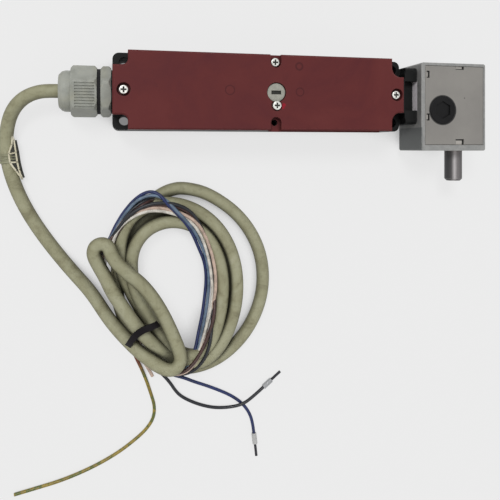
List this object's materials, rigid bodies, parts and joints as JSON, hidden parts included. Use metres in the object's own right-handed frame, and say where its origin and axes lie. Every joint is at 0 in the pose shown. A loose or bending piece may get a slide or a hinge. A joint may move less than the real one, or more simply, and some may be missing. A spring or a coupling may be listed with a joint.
{
  "type": "tongue interlock switch",
  "caption": "Guard interlock switch with a long screwed-on cover, a turnable head with a round spring bolt, a solenoid lock, auxiliary release, cable gland and coiled cable with bare cores",
  "frame": {"origin": "centre of the four mounting holes, on the mounting face at the back of the housing", "axes": "+X along the housing towards the head, +Y across it away from the bolt, +Z out of the mounting face towards the cover"},
  "size_m": [0.2664, 0.2347, 0.0358],
  "materials": {
    "housing_black": "fine moulded grain",
    "cover_red": "fine moulded grain",
    "gasket_rubber": "smooth moulded",
    "zinc_screw": "zinc plated",
    "release_metal": "turned",
    "gland_grey": "moulded polyamide",
    "die_cast_grey": "die-cast zinc, painted",
    "plate_grey": "satin paint on sheet",
    "plug_black": "moulded",
    "steel_bolt": "ground and polished",
    "bronze_bush": "sintered",
    "spring_steel": "drawn wire",
    "lever_steel": "pressed",
    "contact_brass": "plated",
    "inner_plastic": "moulded",
    "yoke_steel": "bent sheet",
    "winding_copper": "enamelled copper wire",
    "cable_sheath": "smooth extruded sheath",
    "core_mixed": "insulated cores of several colours",
    "core_blue": "smooth insulation",
    "core_black": "smooth insulation",
    "core_green_yellow": "two-colour insulation",
    "ferrule_metal": "tinned",
    "tie_black": "moulded strap",
    "marker_ivory": "moulded clip"
  },
  "bodies": {
    "housing": {"base_housing": "housing_black", "cover": "cover_red", "cover_gasket": "gasket_rubber", "cover_screws": "zinc_screw", "release_seal": "gasket_rubber", "release_lock_screw": "zinc_screw", "gland_body": "gland_grey", "gland_seal": "gasket_rubber", "gland_nut": "gland_grey", "gland_insert": "gasket_rubber", "cable_tail": "cable_sheath", "head_casing": "die_cast_grey", "head_front_plate": "plate_grey", "head_plug": "plug_black", "head_gasket": "gasket_rubber", "head_screws": "zinc_screw", "bolt_guide_bush": "bronze_bush", "bolt_spring": "spring_steel", "crank_pin": "steel_bolt", "contact_block": "inner_plastic", "fixed_contacts": "contact_brass", "solenoid_yoke": "yoke_steel", "solenoid_core": "yoke_steel", "coil_bobbin": "inner_plastic", "coil_winding": "winding_copper", "armature_spring": "spring_steel", "lock_lever_pin": "steel_bolt", "terminal_block": "inner_plastic", "terminal_screws": "contact_brass", "cable": "cable_sheath", "cable_coil": "cable_sheath", "cable_narrow_loop": "cable_sheath", "core_hank": "core_mixed", "core_tails": "core_mixed", "core_blue": "core_blue", "core_black": "core_black", "core_green_yellow": "core_green_yellow", "ferrule_blue": "ferrule_metal", "ferrule_black": "ferrule_metal", "cable_tie": "tie_black", "cable_marker": "marker_ivory"},
    "bolt": {"actuator_bolt": "steel_bolt"},
    "crank": {"crank_lever": "lever_steel"},
    "plunger": {"plunger_rod": "steel_bolt", "contact_carrier": "inner_plastic", "contact_bridge": "contact_brass"},
    "armature_body": {"armature": "yoke_steel"},
    "lock_lever": {"locking_lever": "lever_steel"},
    "release": {"release_disc": "release_metal"}
  },
  "joints": [
    {"name": "bolt_slide", "type": "slide", "parent": "housing", "child": "bolt", "axis": [0, 1, 0], "range_m": [0, 0.008], "stiffness_N_per_m": 400, "springref_m": -0.01, "deforming": ["bolt_spring"]},
    {"name": "crank_hinge", "type": "hinge", "parent": "housing", "child": "crank", "pos_m": [0.1005, -0.0099, 0.02], "axis": [0, 0, 1], "range_deg": [0, 49.8]},
    {"name": "plunger_slide", "type": "slide", "parent": "housing", "child": "plunger", "axis": [-1, 0, 0], "range_m": [0, 0.008]},
    {"name": "armature_slide", "type": "slide", "parent": "housing", "child": "armature_body", "axis": [-1, 0, 0], "range_m": [0, 0.0024], "stiffness_N_per_m": 500, "springref_m": -0.004, "deforming": ["armature_spring"]},
    {"name": "lock_lever_hinge", "type": "hinge", "parent": "housing", "child": "lock_lever", "pos_m": [0.0133, -0.0115, 0.02], "axis": [0, 0, 1], "range_deg": [0, 20.95]},
    {"name": "release_hinge", "type": "hinge", "parent": "housing", "child": "release", "pos_m": [0.0036, 0, 0.03], "axis": [0, 0, 1], "range_deg": [-90, 0]}
  ],
  "couplings": [
    {"joint": "crank_hinge", "follows": "bolt_slide", "rad_per_m": 108.65},
    {"joint": "plunger_slide", "follows": "bolt_slide", "ratio": 1},
    {"joint": "lock_lever_hinge", "follows": "armature_slide", "rad_per_m": 152.36}
  ]
}
